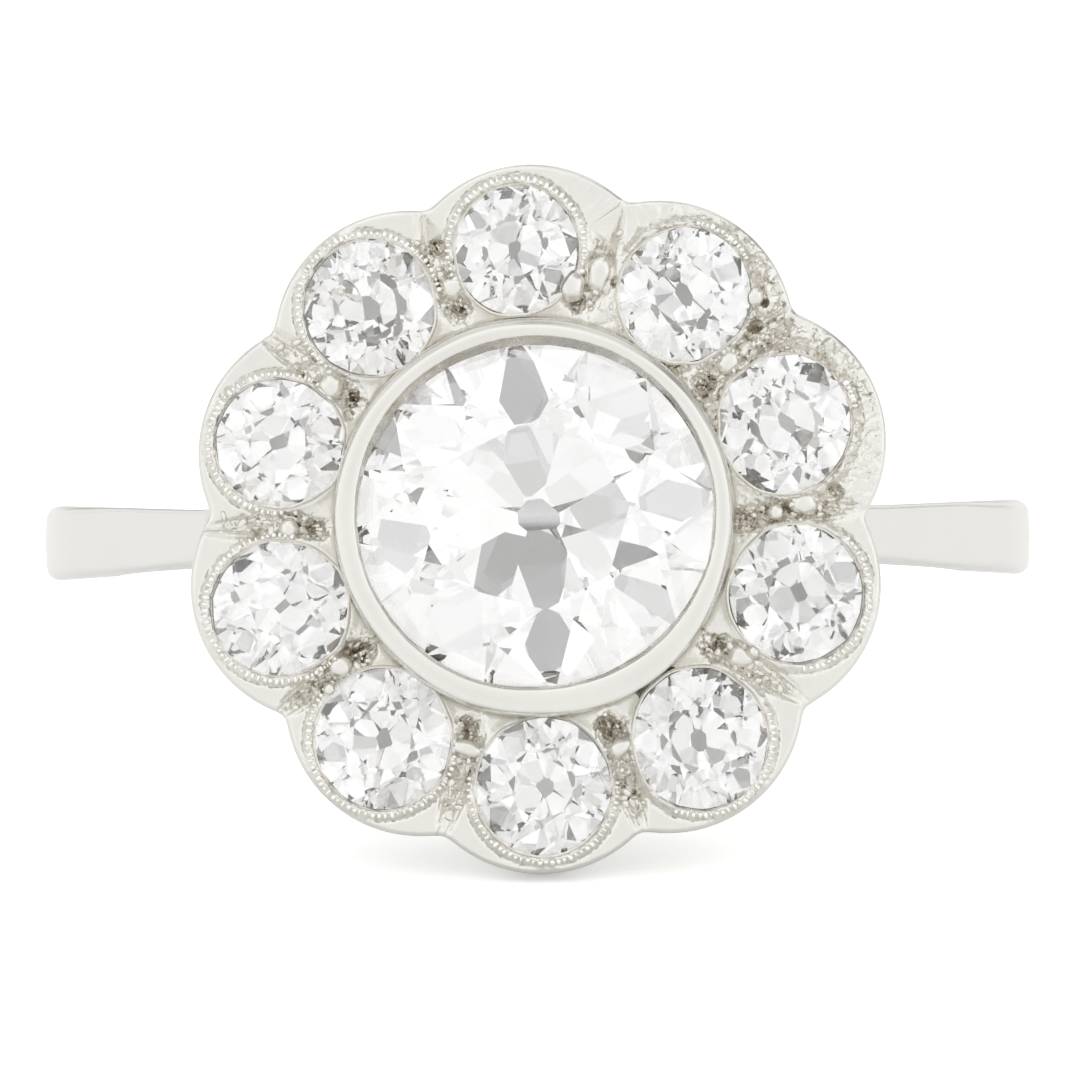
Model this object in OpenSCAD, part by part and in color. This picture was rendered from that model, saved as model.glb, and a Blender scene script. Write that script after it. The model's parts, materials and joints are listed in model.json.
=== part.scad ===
// Flower cluster ring: a round old-cut stone in a plain collet inside a halo of ten smaller ones.
// It is worked out upright, with the finger along Y and the head facing +Z,
// and then laid on its side, resting on its lowest lobe and the back of the shank.
// All lengths are in millimetres.

/* [Shank] */
// Inner diameter, which is the size of the finger
bore_d = 17.3; // [15.5:0.1:19]
// Thickness of the shank
shank_t = 1.6; // [1.3:0.1:2]
// Width of the shank where it is widest, beside the finger
shank_w = 1.56; // [1.4:0.02:2]
// Width of the shank at the back of the finger
shank_back_w = 0.86; // [0.8:0.02:1.1]
// Width of the shoulders where they meet the head
shoulder_w = 1.06; // [0.8:0.02:1.3]
// Rounding of the shank's outer edges
shank_edge_r = 0.34; // [0.2:0.02:0.45]

/* [Head] */
// Height of the halo's face over the middle of the finger
face_z = 12.2; // [12:0.1:13]
// Depth of the halo's upright outer wall
wall_h = 0.75; // [0.5:0.05:1]
// How far the head sits off the middle of the shank
head_offset = 0.3; // [0:0.05:0.4]
// Radius of each scalloped lobe
lobe_r = 2.69; // [2.5:0.01:2.9]
// Radius of each petal of the gallery where it meets the base ring
petal_foot_r = 0.6; // [0.4:0.05:0.9]
// Outer diameter of the base ring under the gallery
base_d = 9.6; // [9:0.1:10.4]
// Thickness of the base ring
base_t = 0.6; // [0.5:0.05:0.8]

/* [Stones] */
// Width of the centre stone
centre_w = 7.26; // [7:0.02:7.4]
// Length of the centre stone, along the finger
centre_l = 7.06; // [6.8:0.02:7.3]
// Outer diameter of the centre collet at its rim
collet_d = 7.84; // [7.8:0.02:8]
// Height of the collet's rim over the halo's face
collet_h = 1.65; // [1.4:0.05:2]
// Gap between each stone and its seat
stone_gap = 0.03; // [0.02:0.01:0.06]

/* [Hidden] */
$fn = 64;

// The halo clockwise from the top stone: the angle and distance of each stone from the
// middle of the head, its width and length, how far it is turned in its seat,
// and the angle and reach of the lobe that holds it.
HALO_COLUMNS = ["angle", "out", "width", "length", "turn", "lobe_angle", "lobe_reach"];
HALO = [
    [  93.6, 5.37, 2.56, 2.64,  8,   90.6, 7.05],
    [  55.9, 5.36, 2.72, 2.72, 31,   55.4, 7.09],
    [  20.2, 5.33, 2.70, 2.88, 12,   19.1, 7.26],
    [ -16.5, 5.44, 2.70, 2.80, 25,  -17.9, 7.10],
    [ -53.5, 5.50, 2.70, 2.86,  3,  -53.9, 7.15],
    [ -88.6, 5.37, 2.78, 2.82, 38,  -88.9, 7.09],
    [-124.9, 5.36, 2.78, 2.84, 17, -122.4, 6.99],
    [-160.8, 5.38, 2.80, 2.72, 41, -162.4, 7.07],
    [ 163.3, 5.30, 2.64, 2.58, 20,  162.1, 6.90],
    [ 127.8, 5.34, 2.66, 2.76,  6,  125.8, 6.95]
];
STONES = len(HALO);
LOWEST = 5; // row of the lobe that the ring rests on

bore_r = bore_d / 2;
shank_r = bore_r + shank_t;
wall_z = face_z - wall_h;      // foot of the halo's upright wall
petal_flare = 0.14;            // step from the petal's cone out to the upright wall
bevel = 0.085;                 // bevel round the halo's upper edge

// The gallery under the halo
base_z = bore_r + 0.12;        // underside of the base ring, clear of the finger
base_top_z = base_z + 0.65;
petal_foot_z = base_z + 0.2;
cavity_top_z = wall_z - 0.25;  // underside of the plate that carries the halo
cavity_top_r = 6.0;
cavity_foot_r = base_d / 2 - base_t;

// The centre collet and its stone
collet_r = collet_d / 2;
rim_z = face_z + collet_h;
centre_z = rim_z - 0.4;        // middle of the centre stone's girdle
centre_r = max(centre_w, centre_l) / 2;
rim_w = 0.36;                  // flat rim, which laps over the edge of the stone
rim_bevel = 0.05;

// The halo's seats
collar_h = 0.14;               // raised collar round each stone
collar_w = 0.15;
collar_lap = 0.05;             // how far a collar laps over its stone
seat_depth = 0.1;              // girdle of a halo stone under the top of its collar
azure_r = 0.85;                // open back of each seat
halo_stone_z = face_z + collar_h - seat_depth;

// Old-cut proportions, as shares of the stone's radius, and facet angles
table_share = 0.52;
star_share = 0.76;
lower_share = 0.62;
culet_share = 0.12;
girdle_share = 0.02;
crown_angle = 33;
pavilion_angle = 40;
// The facets beside the girdle are steeper than the main ones, and the seats follow them.
lip_angle = atan((1 - star_share * cos(22.5)) * tan(crown_angle) / (1 - star_share));
seat_angle = atan((1 - lower_share * cos(22.5)) * tan(pavilion_angle) / (1 - lower_share));

// How the ring lies: the lowest lobe and the back edge of the shank touch the surface together.
lobe_low_y = head_offset - row(LOWEST, "lobe_reach");
lean = atan2(-lobe_low_y - shank_back_w / 2, wall_z + shank_r);
rest_z = shank_back_w / 2 * cos(lean) + shank_r * sin(lean);
table_z = centre_z + centre_r * (girdle_share + (1 - table_share) * tan(crown_angle));
front_reach = table_z * cos(lean) + centre_r * table_share * sin(lean);
back_reach = shank_back_w / 2 * sin(lean) + shank_r * cos(lean);
rest_y = (front_reach - back_reach) / 2;

function row(i, name) = HALO[i][search([name], HALO_COLUMNS)[0]];

// Lays the upright ring on its side.
module laid() {
    translate([0, rest_y, rest_z]) rotate([90 - lean, 0, 0]) children();
}

// Moves a shape from the middle of the head to where the head sits on the shank.
module on_head() {
    translate([0, head_offset, 0]) children();
}

// Places a shape at one of the halo's stones.
module at_stone(i) {
    angle = row(i, "angle");
    out = row(i, "out");
    translate([out * cos(angle), out * sin(angle), 0]) children();
}

// The middle of each lobe lies on the line to its tip.
module at_lobe(i) {
    angle = row(i, "lobe_angle");
    out = row(i, "lobe_reach") - lobe_r;
    translate([out * cos(angle), out * sin(angle), 0]) children();
}

// Band round the finger, full width, with its outer edges rounded
module band() {
    flat = shank_w / 2 - shank_edge_r;
    rotate([90, 0, 0]) rotate_extrude() {
        translate([bore_r, -shank_w / 2]) square([shank_t - shank_edge_r, shank_w]);
        translate([bore_r, -flat]) square([shank_t, 2 * flat]);
        for (side = [-1, 1])
            translate([shank_r - shank_edge_r, side * flat]) circle(r = shank_edge_r);
    }
}

// Web that carries each shoulder up from the band to the underside of the halo
module shoulder_web() {
    top_x = 6.55;
    foot_angle = 21; // the outside leaves the band here without a kink
    rotate([90, 0, 0]) linear_extrude(2 * shank_w, center = true)
        polygon([
            [shank_r * cos(foot_angle), shank_r * sin(foot_angle)],
            [top_x, wall_z + 0.1],
            [cavity_foot_r + 0.2, wall_z + 0.1],
            [cavity_foot_r + 0.2, base_top_z],
            [bore_r * cos(foot_angle) + 0.6, bore_r * sin(foot_angle) + 0.2]
        ]);
}

// Outline of the shank from the side, which narrows towards the head and towards the back
module shank_side() {
    taper_top_z = 10.6;
    taper_back_z = -5;
    peak_w = shank_w + 0.14; // where the two tapers meet, just clear of the band
    rotate([90, 0, 90]) linear_extrude(3 * shank_r, center = true)
        polygon([
            [-shank_back_w / 2, -shank_r - 1], [shank_back_w / 2, -shank_r - 1],
            [shank_back_w / 2, taper_back_z], [peak_w / 2, 0], [shoulder_w / 2, taper_top_z],
            [shoulder_w / 2, face_z], [-shoulder_w / 2, face_z],
            [-shoulder_w / 2, taper_top_z], [-peak_w / 2, 0], [-shank_back_w / 2, taper_back_z]
        ]);
}

module shank() {
    intersection() {
        union() {
            band();
            shoulder_web();
            mirror([1, 0, 0]) shoulder_web();
        }
        shank_side();
    }
}

// One lobe of the halo with the petal of the gallery under it
module lobe() {
    cone_r = lobe_r - petal_flare;
    rotate_extrude()
        polygon([
            [0, petal_foot_z], [petal_foot_r, petal_foot_z],
            [cone_r, wall_z - petal_flare], [lobe_r, wall_z],
            [lobe_r, face_z - bevel], [lobe_r - bevel, face_z], [0, face_z]
        ]);
}

// Ring that ties the feet of the petals together
module base_ring() {
    translate([0, 0, base_z]) cylinder(h = base_top_z - base_z, d = base_d);
}

// Hollow of the head behind the halo, open towards the finger
module gallery_hollow() {
    rotate_extrude()
        polygon([
            [0, base_z - 2], [cavity_foot_r, base_z - 2], [cavity_foot_r, base_top_z],
            [cavity_top_r, cavity_top_z], [0, cavity_top_z]
        ]);
}

// Tapered tube that holds the centre stone
module centre_collet() {
    foot_z = 9.9;
    rotate_extrude()
        polygon([
            [0, foot_z], [2.6, foot_z], [3.45, wall_z - 0.3], [3.76, face_z],
            [collet_r, rim_z - rim_bevel], [collet_r - rim_bevel, rim_z], [0, rim_z]
        ]);
}

// Room for the centre stone: mouth under the rim, groove for the girdle, ledge and open back
module centre_seat() {
    seat_r = centre_r + stone_gap;
    mouth_r = collet_r - rim_w;
    groove = 0.1;
    ledge_drop = 0.7;
    rotate_extrude()
        polygon([
            [0, 8.6], [2.1, 8.6], [3.0, centre_z - 1.8],
            [seat_r - ledge_drop / tan(seat_angle), centre_z - groove - ledge_drop],
            [seat_r, centre_z - groove], [seat_r, centre_z + groove],
            [mouth_r, centre_z + groove + (seat_r - mouth_r) * tan(lip_angle) + stone_gap],
            [mouth_r, rim_z + 1], [0, rim_z + 1]
        ]);
}

// Raised collar round a halo stone
module collar(i) {
    r = stone_r(i) + collar_w;
    translate([0, 0, face_z - 0.3]) cylinder(h = 0.3 + collar_h, r = r);
}

function stone_r(i) = max(row(i, "width"), row(i, "length")) / 2;

// Room for a halo stone, with its open back
module halo_seat(i) {
    seat_r = stone_r(i) + stone_gap;
    mouth_r = stone_r(i) - collar_lap;
    groove = 0.05;
    azure_z = cavity_top_z - 0.15;
    mouth_z = face_z + collar_h + 0.2;
    rotate_extrude()
        polygon([
            [0, azure_z], [azure_r, azure_z],
            [azure_r, halo_stone_z - groove - (seat_r - azure_r) * tan(seat_angle)],
            [seat_r, halo_stone_z - groove], [seat_r, halo_stone_z + groove],
            [mouth_r, halo_stone_z + groove + (seat_r - mouth_r) * tan(lip_angle)],
            [mouth_r, mouth_z], [0, mouth_z]
        ]);
}

// Grain of metal pushed up between two stones, beside the centre collet
module grain(i) {
    next = (i + 1) % STONES;
    turn = row(i, "angle") - row(next, "angle");
    angle = row(i, "angle") - (turn > 0 ? turn : turn + 360) / 2;
    grain_out = 4.8;
    rotate([0, 0, angle]) translate([grain_out, 0, face_z - 0.2])
        cylinder(h = 0.42, r1 = 0.28, r2 = 0.19);
}

// Head: halo, gallery and collet, without the stones
module head() {
    difference() {
        union() {
            for (i = [0 : STONES - 1]) at_lobe(i) lobe();
            base_ring();
        }
        gallery_hollow();
    }
}

// All the metal is soldered into one piece.
module ring_mount() {
    color("#e4e2dc") laid() difference() {
        union() {
            difference() {
                shank();
                on_head() gallery_hollow();
            }
            on_head() {
                head();
                centre_collet();
                for (i = [0 : STONES - 1]) {
                    at_stone(i) collar(i);
                    grain(i);
                }
            }
        }
        on_head() {
            centre_seat();
            for (i = [0 : STONES - 1]) at_stone(i) halo_seat(i);
        }
    }
}

// Old-cut stone with its girdle round the origin: an octagonal table with its star facets,
// eight main facets over and under the girdle, sixteen pairs beside it, and an open culet
module old_cut(width, length, turn) {
    girdle = 16;
    r = max(width, length) / 2;
    crown = tan(crown_angle);
    pavilion = tan(pavilion_angle);
    half = cos(22.5);
    function ring(n, share, z, from) = [
        for (k = [0 : n - 1])
            let (a = from + k * 360 / n + turn)
            [share * cos(a) * width / 2, share * sin(a) * length / 2, z * r]
    ];
    points = concat(
        ring(8, table_share, girdle_share + (1 - table_share) * crown, 0),
        ring(8, star_share, girdle_share + (1 - star_share * half) * crown, 22.5),
        ring(girdle, 1, girdle_share, 0),
        ring(girdle, 1, -girdle_share, 0),
        ring(8, lower_share, -girdle_share - (1 - lower_share * half) * pavilion, 22.5),
        ring(8, culet_share, -girdle_share - (1 - culet_share * half) * pavilion, 22.5)
    );
    table = 0;
    star = 8;
    upper = 16;
    under = 32;
    lower = 48;
    culet = 56;
    faces = concat(
        [[for (k = [7 : -1 : 0]) table + k]],
        [for (k = [0 : 7]) [table + k, table + (k + 1) % 8, star + k]],
        [for (k = [0 : 7]) [table + k, star + k, upper + 2 * k, star + (k + 7) % 8]],
        [for (k = [0 : 7]) [star + k, upper + 2 * k + 1, upper + 2 * k]],
        [for (k = [0 : 7]) [star + k, upper + (2 * k + 2) % 16, upper + 2 * k + 1]],
        [for (k = [0 : 15]) [upper + k, upper + (k + 1) % 16, under + (k + 1) % 16, under + k]],
        [for (k = [0 : 7]) [lower + k, under + 2 * k, under + 2 * k + 1]],
        [for (k = [0 : 7]) [lower + k, under + 2 * k + 1, under + (2 * k + 2) % 16]],
        [for (k = [0 : 7]) [
            under + 2 * k, lower + k, culet + k, culet + (k + 7) % 8, lower + (k + 7) % 8
        ]],
        [[for (k = [0 : 7]) culet + k]]
    );
    polyhedron(points = points, faces = faces);
}

module centre_stone() {
    color("#f2f4f4") laid() on_head()
        translate([0, 0, centre_z]) old_cut(centre_w, centre_l, 14);
}

module halo_stone(number) {
    i = number - 1;
    color("#eef1f2") laid() on_head() at_stone(i)
        translate([0, 0, halo_stone_z])
            old_cut(row(i, "width"), row(i, "length"), row(i, "turn"));
}

ring_mount();
centre_stone();
halo_stone(1);  // halo_stone_01
halo_stone(2);  // halo_stone_02
halo_stone(3);  // halo_stone_03
halo_stone(4);  // halo_stone_04
halo_stone(5);  // halo_stone_05
halo_stone(6);  // halo_stone_06
halo_stone(7);  // halo_stone_07
halo_stone(8);  // halo_stone_08
halo_stone(9);  // halo_stone_09
halo_stone(10);  // halo_stone_10
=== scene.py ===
import json
import math
import bmesh
import bpy
import numpy as np
from mathutils import Matrix, Vector
from mathutils.geometry import delaunay_2d_cdt


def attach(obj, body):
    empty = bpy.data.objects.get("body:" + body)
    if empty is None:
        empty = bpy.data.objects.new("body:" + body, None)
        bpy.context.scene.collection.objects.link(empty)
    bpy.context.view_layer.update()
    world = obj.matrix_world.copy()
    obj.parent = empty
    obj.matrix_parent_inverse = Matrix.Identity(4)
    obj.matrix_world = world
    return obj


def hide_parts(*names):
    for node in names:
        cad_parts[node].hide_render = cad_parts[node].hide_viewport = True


# Flower cluster ring: a round old-cut stone in a plain collet, inside a scalloped halo of ten smaller ones.
# Shapes are worked out upright in millimetres, head facing +Z and finger along Y, then laid into the frame.

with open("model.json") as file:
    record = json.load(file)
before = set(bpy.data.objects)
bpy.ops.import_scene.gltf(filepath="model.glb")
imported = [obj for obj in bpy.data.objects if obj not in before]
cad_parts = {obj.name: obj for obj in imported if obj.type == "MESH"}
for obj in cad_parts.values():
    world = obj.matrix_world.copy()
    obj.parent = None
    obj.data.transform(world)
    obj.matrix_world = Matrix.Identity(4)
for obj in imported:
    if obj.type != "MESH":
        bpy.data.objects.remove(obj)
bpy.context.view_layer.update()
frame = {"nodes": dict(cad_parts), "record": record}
cadNodes = frame["nodes"]
print("frame loaded:", len(cadNodes), "nodes")

millimetre = 0.001
fullTurn = 2 * math.pi
boreMount = frame["record"]["mounts"][0]
fingerAxis = Vector(boreMount["axis"])
headAxis = Vector((1, 0, 0)).cross(fingerAxis)
ringTurn = Matrix((Vector((1, 0, 0)), fingerAxis, headAxis)).transposed()
ringToRow = Matrix.Translation(boreMount["pos_m"]) @ ringTurn.to_4x4() @ Matrix.Scale(millimetre, 4)


def nodePoints(name, space):
    back = space.inverted()
    return np.array([back @ vert.co for vert in cadNodes[name].data.vertices])


def middleOf(points):
    return (points.min(0) + points.max(0)) / 2


headOffset = float(middleOf(nodePoints("centre_stone", ringToRow))[1])
headToRow = ringToRow @ Matrix.Translation((0, headOffset, 0))  # the head sits a little off the shank's middle


# Camera

cameraView = {
    "distance": 260,      # from the halo's face
    "lens": 435.4,
    "raise": -0.7,        # degrees off the head's axis
    "sideways": 0.25,
    "roll": 0.38,
    "lookAt": (0.1, -0.14, 12.2),
}


def addCamera(view):
    side = math.radians(view["sideways"])
    lift = math.radians(view["raise"])
    roll = math.radians(view["roll"])
    back = (ringTurn @ Vector((math.sin(side), math.sin(lift), 1))).normalized()
    up = ringTurn @ Vector((math.sin(roll), math.cos(roll), 0))
    right = up.cross(back).normalized()
    up = back.cross(right)
    place = ringToRow @ Vector(view["lookAt"]) + back * view["distance"] * millimetre
    data = bpy.data.cameras.new("camera")
    data.lens = view["lens"]
    data.sensor_width = 36
    data.clip_start = 0.01
    data.clip_end = 20
    camera = bpy.data.objects.new("camera", data)
    camera.matrix_world = Matrix.Translation(place) @ Matrix((right, up, back)).transposed().to_4x4()
    bpy.context.scene.collection.objects.link(camera)
    bpy.context.scene.camera = camera
    return back


cameraAxis = addCamera(cameraView)
print("camera placed")


# Small helpers for node trees

def addNode(tree, kind, inputs=None, **settings):
    node = tree.nodes.new(kind)
    for name, value in settings.items():
        setattr(node, name, value)
    for key, value in (inputs or {}).items():
        if isinstance(value, bpy.types.NodeSocket):
            tree.links.new(value, node.inputs[key])
        else:
            node.inputs[key].default_value = value
    return node


def addSockets(tree, side, sockets):
    for name, kind in sockets:
        tree.interface.new_socket(name, in_out=side, socket_type="NodeSocket" + kind)


def mathNode(tree, operation, first, second=0.0, clamp=False):
    return addNode(tree, "ShaderNodeMath", {0: first, 1: second}, operation=operation, use_clamp=clamp).outputs[0]


def noiseNode(tree, coords, scale, detail, roughness=0.5):
    return addNode(tree, "ShaderNodeTexNoise", {
        "Vector": coords, "Scale": scale, "Detail": detail, "Roughness": roughness}).outputs["Fac"]


def rangeNode(tree, value, low, high, toLow=0.0, toHigh=1.0):
    return addNode(tree, "ShaderNodeMapRange", {
        "Value": value, "From Min": low, "From Max": high, "To Min": toLow, "To Max": toHigh}).outputs["Result"]


def rampNode(tree, value, stops, interpolation="LINEAR"):
    node = addNode(tree, "ShaderNodeValToRGB", {"Fac": value})
    ramp = node.color_ramp
    ramp.interpolation = interpolation
    while len(ramp.elements) < len(stops):
        ramp.elements.new(0.5)
    for element, (place, colour) in zip(ramp.elements, stops):
        element.position = place
        element.color = (*colour, 1) if isinstance(colour, tuple) else (colour, colour, colour, 1)
    return node.outputs["Color"]


def mixColours(tree, factor, first, second, blend="MIX"):
    return addNode(tree, "ShaderNodeMix", {0: factor, 6: first, 7: second},
                   data_type="RGBA", blend_type=blend).outputs[2]


def newMaterial(name):
    material = bpy.data.materials.new(name)
    material.use_nodes = True
    material.node_tree.nodes.clear()
    return material, material.node_tree


def ringCoordinates(tree):
    # object coordinates turned back to the upright ring's millimetres
    return addNode(tree, "ShaderNodeMapping", {
        "Vector": addNode(tree, "ShaderNodeTexCoord").outputs["Object"], "Location": boreMount["pos_m"],
        "Rotation": ringTurn.to_euler(), "Scale": (millimetre,) * 3}, vector_type="TEXTURE").outputs["Vector"]


# Small helpers for meshes

def quadsBetween(first, second):
    # faces between two closed loops that run the same way
    after = np.roll(np.arange(len(first)), -1)
    return [(first[k], first[n], second[n], second[k]) for k, n in enumerate(after)]


def newMesh(name, points, faces, dirtAndShade=None):
    mesh = bpy.data.meshes.new(name)
    mesh.from_pydata(points, [], faces)
    if dirtAndShade is not None:
        mesh.attributes.new("dirtAndShade", "FLOAT", "POINT").data.foreach_set("value", np.array(dirtAndShade, float))
    return mesh


def faceOutwards(mesh, weld=None):
    body = bmesh.new()
    body.from_mesh(mesh)
    if weld:
        bmesh.ops.remove_doubles(body, verts=body.verts, dist=weld)
    bmesh.ops.recalc_face_normals(body, faces=body.faces)
    body.to_mesh(mesh)
    body.free()


def cutPlane(body, point, normal, clear=True):
    # cuts along a plane, clears what lies beyond it, and hands back the cut's edges
    everything = body.verts[:] + body.edges[:] + body.faces[:]
    cut = bmesh.ops.bisect_plane(body, geom=everything, plane_co=point, plane_no=normal, clear_outer=clear)
    return [part for part in cut["geom_cut"] if isinstance(part, bmesh.types.BMEdge)]


def smoothByAngle(mesh, degrees):
    mesh.polygons.foreach_set("use_smooth", [True] * len(mesh.polygons))
    mesh.set_sharp_from_angle(angle=math.radians(degrees))


def newPiece(name, mesh, material, space=headToRow):
    mesh.transform(space)
    mesh.materials.append(material)
    piece = bpy.data.objects.new(name, mesh)
    bpy.context.scene.collection.objects.link(piece)
    return piece


def weighNormals(piece):
    weighted = piece.modifiers.new("facesFirst", "WEIGHTED_NORMAL")
    weighted.keep_sharp = True
    return piece


def hanningOf(count):
    # weights that smooth a row of values
    return np.hanning(count) / np.hanning(count).sum()


def polar(degrees, out):
    return out * math.cos(math.radians(degrees)), out * math.sin(math.radians(degrees))


# Metal

platinum = {
    "colour": (0.785, 0.775, 0.73, 1),
    # the shank's own copy of the platinum, toned apart from the head's for how brightly the shank is lit: painted
    # shade
    "shankColour": (0.80, 0.786, 0.753, 1),
    # lighter copy of the platinum for the milgrain beads: painted highlight
    "beadHighlightColour": (0.92, 0.91, 0.87, 1),
    "dirtAndShade": (0.40, 0.285, 0.165, 1),
    "deepDirtAndShade": (0.035, 0.022, 0.012, 1),    # where it lies thickest, near black: painted shade in the deepest cracks
    "scratches": [(0.4, (38, 2.2, 2.2)), (1.9, (30, 1.6, 1.6)), (2.7, (52, 3.4, 3.4))],  # turn and stretch of each set
    "bump": 0.006,        # millimetres between the lowest and highest wear
    "edgeRadius": 0.045,  # softened edges
}


def makeWearGroup(look):
    # cloudy tint, fine scratches and dirt that every metal surface shares; the dirt also paints shade into creases,
    # cracks and joints
    tree = bpy.data.node_groups.new("metalWearAndShade", "ShaderNodeTree")
    addSockets(tree, "INPUT", [
        ("Coords", "Vector"), ("Cloud Scale", "Float"), ("Scratch Strength", "Float"), ("Pitting", "Float"),
        ("Dirt And Shade", "Float"), ("Clean Colour", "Color"), ("Dirt And Shade Colour", "Color")])
    addSockets(tree, "OUTPUT", [("Colour", "Color"), ("Roughness", "Float"), ("Metal", "Float"), ("Height", "Float")])
    given = addNode(tree, "NodeGroupInput").outputs
    clouds = noiseNode(tree, given["Coords"], given["Cloud Scale"], 4.0, 0.6)
    scratches = None
    for turn, stretch in look["scratches"]:
        turned = addNode(tree, "ShaderNodeMapping", {
            "Vector": given["Coords"], "Rotation": (0.3 * turn, 0.2, turn), "Scale": stretch}).outputs["Vector"]
        thin = rangeNode(tree, noiseNode(tree, turned, 1.0, 1.0), 0.62, 0.72)
        scratches = thin if scratches is None else mathNode(tree, "MAXIMUM", scratches, thin)
    dents = noiseNode(tree, given["Coords"], 9.0, 3.0)
    specks = noiseNode(tree, given["Coords"], 14.0, 4.0, 0.7)
    # the dirt mask is real grime and painted shade together
    dirtAndShade = mathNode(tree, "MULTIPLY", given["Dirt And Shade"], rangeNode(tree, specks, 0.35, 0.6, 0.25), clamp=True)
    tint = rampNode(tree, clouds, [(0.3, 0.965), (0.7, 1.0)])
    clean = mixColours(tree, 1.0, given["Clean Colour"], tint, "MULTIPLY")
    # where it is thickest the colour goes near black: painted shade of deep cracks
    thickDirtDeepShade = rangeNode(tree, dirtAndShade, 0.45, 0.95, 0.0, 0.85)
    soilAndShade = mixColours(tree, thickDirtDeepShade, given["Dirt And Shade Colour"], look["deepDirtAndShade"])
    rough = rangeNode(tree, clouds, 0.3, 0.7, 0.17, 0.27)
    height = mathNode(tree, "MULTIPLY", scratches, mathNode(tree, "MULTIPLY", given["Scratch Strength"], -0.25))
    addNode(tree, "NodeGroupOutput", {
        "Colour": mixColours(tree, dirtAndShade, clean, soilAndShade),
        "Roughness": mathNode(tree, "ADD", rough, mathNode(tree, "MULTIPLY", dirtAndShade, 0.4)),
        "Metal": mathNode(tree, "SUBTRACT", 1.0, mathNode(tree, "MULTIPLY", dirtAndShade, 0.75)),
        "Height": mathNode(tree, "ADD", height, mathNode(tree, "MULTIPLY", dents, given["Pitting"]))})
    return tree


metalWearAndShade = makeWearGroup(platinum)


def makePlatinum(name, colour, clouds, scratches, pitting, soften=False):
    material, tree = newMaterial(name)
    wear = addNode(tree, "ShaderNodeGroup", {
        "Coords": ringCoordinates(tree), "Cloud Scale": clouds, "Scratch Strength": scratches, "Pitting": pitting,
        "Dirt And Shade": addNode(tree, "ShaderNodeAttribute", attribute_name="dirtAndShade").outputs["Fac"],
        "Clean Colour": platinum[colour], "Dirt And Shade Colour": platinum["dirtAndShade"]}, node_tree=metalWearAndShade).outputs
    bump = addNode(tree, "ShaderNodeBump", {
        "Height": wear["Height"], "Strength": 1.0, "Distance": platinum["bump"] * millimetre})
    if soften:
        edge = addNode(tree, "ShaderNodeBevel", {"Radius": platinum["edgeRadius"] * millimetre}, samples=4)
        tree.links.new(edge.outputs["Normal"], bump.inputs["Normal"])
    shader = addNode(tree, "ShaderNodeBsdfPrincipled", {
        "Base Color": wear["Colour"], "Metallic": wear["Metal"], "Roughness": wear["Roughness"],
        "Normal": bump.outputs["Normal"]})
    addNode(tree, "ShaderNodeOutputMaterial", {"Surface": shader.outputs["BSDF"]})
    return material


# Stones' look

diamond = {
    "refraction": 2.417,
    "culetPaintedShade": [  # painted shade across the worn culet, standing in for what shows through it: greys from below
        (0.0, 0.20), (0.06, 0.02), (0.15, 0.0), (0.235, 0.0), (0.32, 0.05), (0.41, 0.20), (0.59, 0.34), (0.94, 0.22)],
    "smokeColour": (0.30, 0.295, 0.285, 1),
    "smokeHeight": 13.9,
}
centreLook = {
    "tint": (0.95, 0.95, 0.945), "transmission": 1.0,
    "dulled": 0.04,              # roughness of the worn specks
    "culetSpan": (-0.04, 0.645),  # heights on the finger's axis that the painted shade band reaches between
    "smoke": [  # x, y, size and strength of each wisp that shows through the table
        (0.18, -1.02, 0.42, 0.75), (-0.42, -0.80, 0.40, 0.45), (-0.62, 0.62, 0.50, 0.55), (0.86, 0.10, 0.30, 0.35)],
}
haloLook = {
    # halo culets take the painted shade's last grey all over
    "tint": (0.985, 0.985, 0.98), "transmission": 0.97, "dulled": 0.08, "culetSpan": (-30.0, -10.0), "smoke": []}


def makeDiamond(name, look):
    # clear stone: faint clouds in its colour, and polish lines that only the sharpest reflections show
    material, tree = newMaterial(name)
    coords = ringCoordinates(tree)
    lighter = tuple(0.4 + 0.6 * part for part in look["tint"])
    colour = rampNode(tree, noiseNode(tree, coords, 0.9, 2.0), [(0.35, look["tint"]), (0.65, lighter)])
    height = addNode(tree, "ShaderNodeSeparateXYZ", {"Vector": coords}).outputs["Y"]
    # painted shade on the culet facet
    wornAndShaded = rampNode(tree, rangeNode(tree, height, *look["culetSpan"]), diamond["culetPaintedShade"])
    culet = addNode(tree, "ShaderNodeAttribute", attribute_name="culet").outputs["Fac"]
    colour = mixColours(tree, culet, colour, wornAndShaded)
    wisps = noiseNode(tree, coords, 2.6, 3.0, 0.6)
    for x, y, size, strength in look["smoke"]:
        middle = (x, y, diamond["smokeHeight"])
        apart = addNode(tree, "ShaderNodeVectorMath", {0: coords, 1: middle}, operation="DISTANCE").outputs["Value"]
        ragged = mathNode(tree, "ADD", apart, mathNode(tree, "MULTIPLY", wisps, size))
        patch = rangeNode(tree, ragged, 1.5 * size, 0.9 * size, 0.0, strength)
        colour = mixColours(tree, patch, colour, diamond["smokeColour"])
    dull = rangeNode(tree, noiseNode(tree, coords, 7.0, 3.0), 0.66, 0.74, 0.0, look["dulled"])
    shader = addNode(tree, "ShaderNodeBsdfPrincipled", {
        "Base Color": colour, "Roughness": dull, "IOR": diamond["refraction"],
        "Transmission Weight": look["transmission"]})
    addNode(tree, "ShaderNodeOutputMaterial", {"Surface": shader.outputs["BSDF"]})
    return material


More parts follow.
